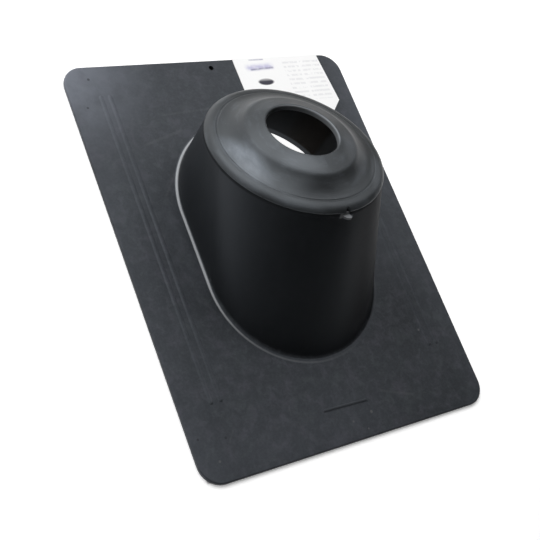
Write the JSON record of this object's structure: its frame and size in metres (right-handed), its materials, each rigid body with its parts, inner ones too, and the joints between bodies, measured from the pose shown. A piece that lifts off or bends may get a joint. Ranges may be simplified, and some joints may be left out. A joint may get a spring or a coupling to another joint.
{
  "type": "pipe flashing boot",
  "caption": "Roof flashing for a vent pipe: flat plastic flange with a leaning hollow upstand, topped by a clipped rubber collar that grips the pipe; a blank card label lies on the flange.",
  "frame": {"origin": "Middle of the flange outline, on the flange's underside, which lies on the roof.", "axes": "+X across the roof, +Y up the slope of the roof along the flange's length, +Z square to the flange, away from the roof. The collar's axis lies in the YZ plane and leans 19 degrees from +Z towards +Y."},
  "size_m": [0.2794, 0.3556, 0.0981],
  "materials": {
    "base_plastic": "dark grey moulded plastic, satin, fine grain",
    "collar_rubber": "mid grey soft elastomer, low sheen",
    "label_card": "white coated card, smooth"
  },
  "bodies": {
    "root": {"base": "base_plastic", "rubber_collar": "collar_rubber", "card_label": "label_card"}
  },
  "joints": []
}
